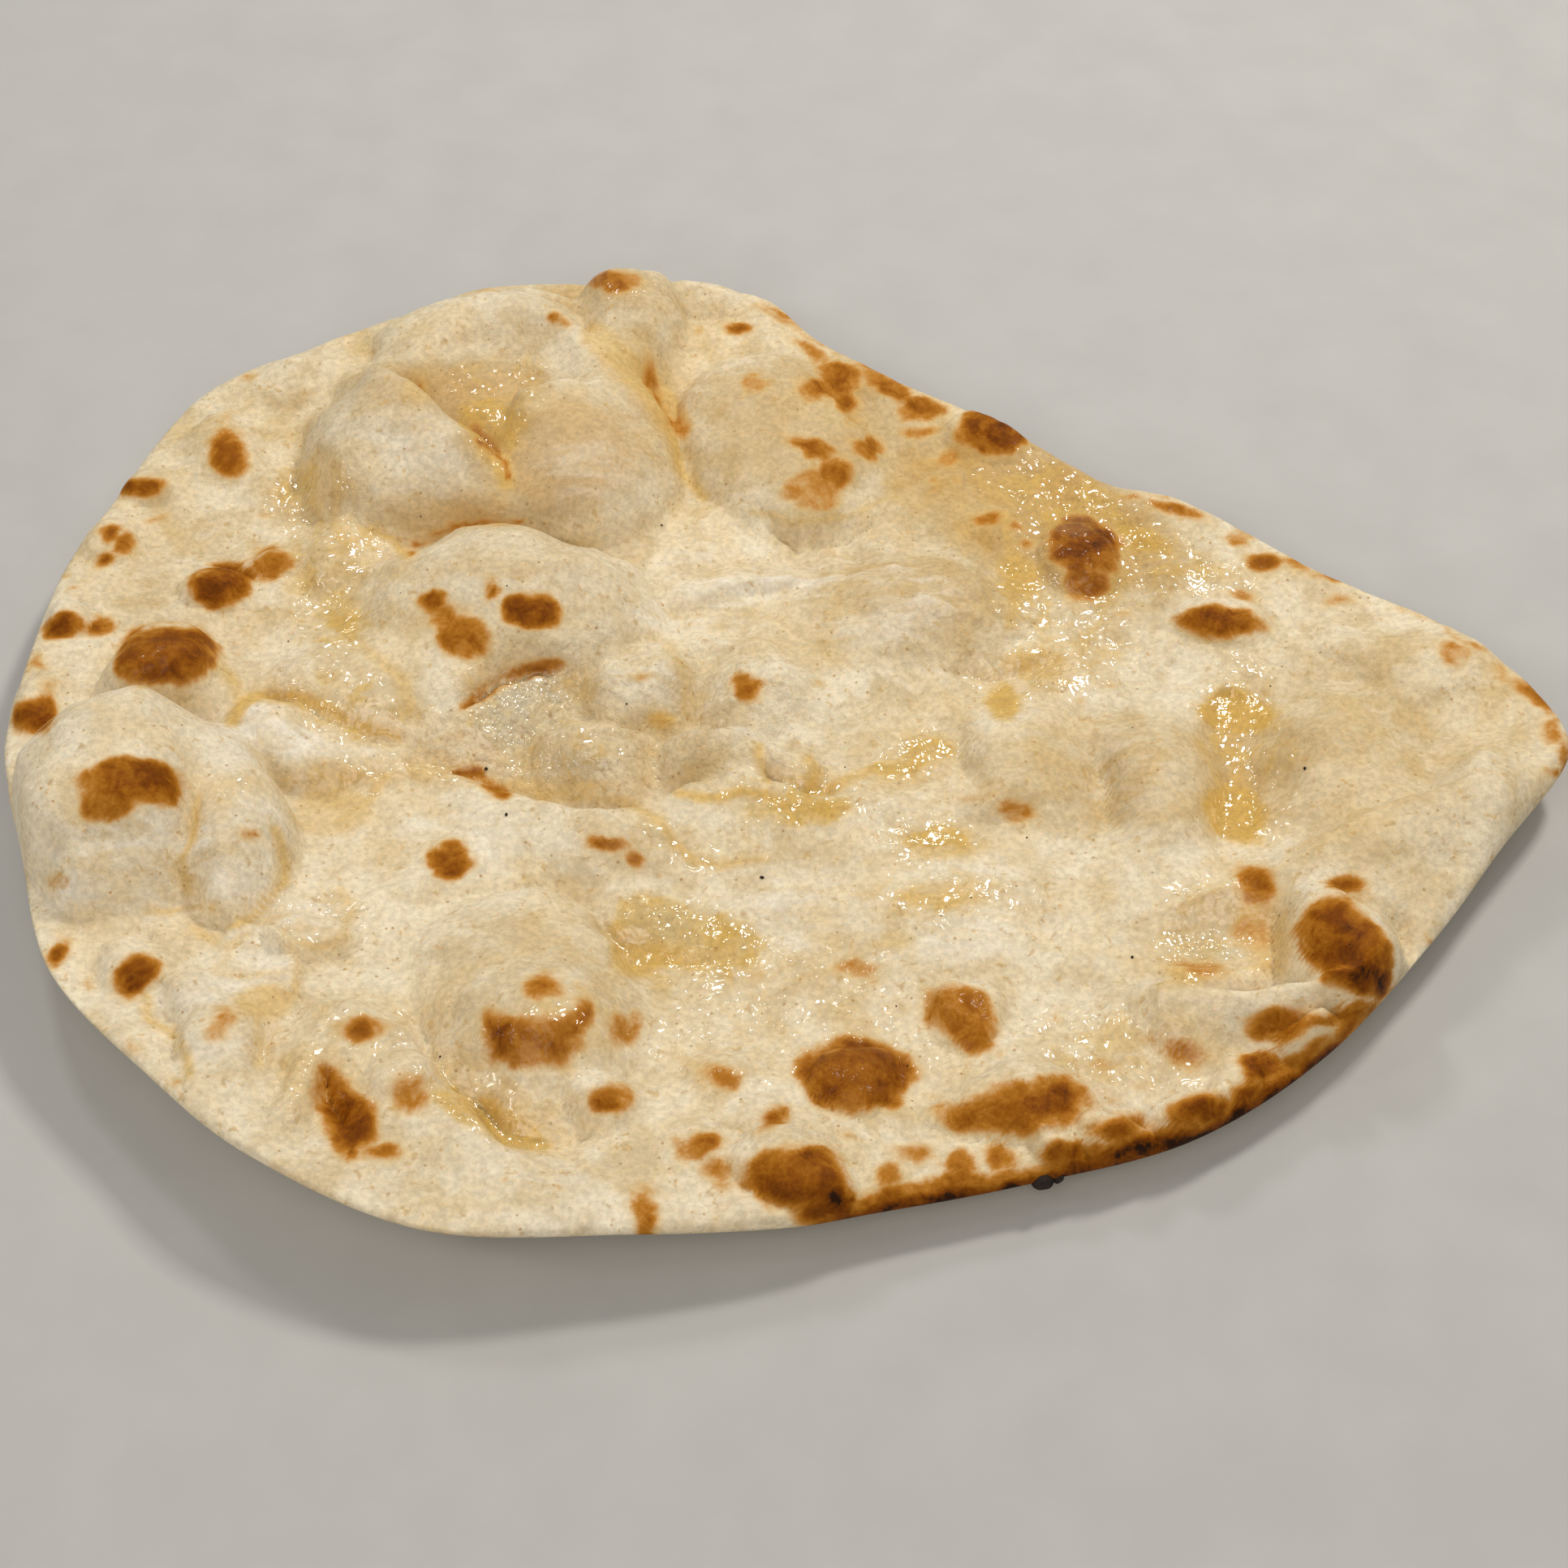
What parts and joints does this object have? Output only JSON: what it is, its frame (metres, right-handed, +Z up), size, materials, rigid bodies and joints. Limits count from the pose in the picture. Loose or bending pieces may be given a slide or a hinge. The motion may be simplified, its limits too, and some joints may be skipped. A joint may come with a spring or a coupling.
{
  "type": "naan bread",
  "caption": "Teardrop leavened flatbread with a curled-up rim, hollow puffs, scorched blisters and melted butter in its dips.",
  "frame": {"origin": "on the table under the middle of the bread's box", "axes": "+X towards the pointed tip, +Y across the bread towards its puffed side, +Z up"},
  "size_m": [0.2953, 0.2418, 0.0338],
  "materials": {
    "crust": "soft satin, buttered in places",
    "butter": "wet gloss"
  },
  "bodies": {
    "root": {"naan": "crust"}
  },
  "joints": []
}
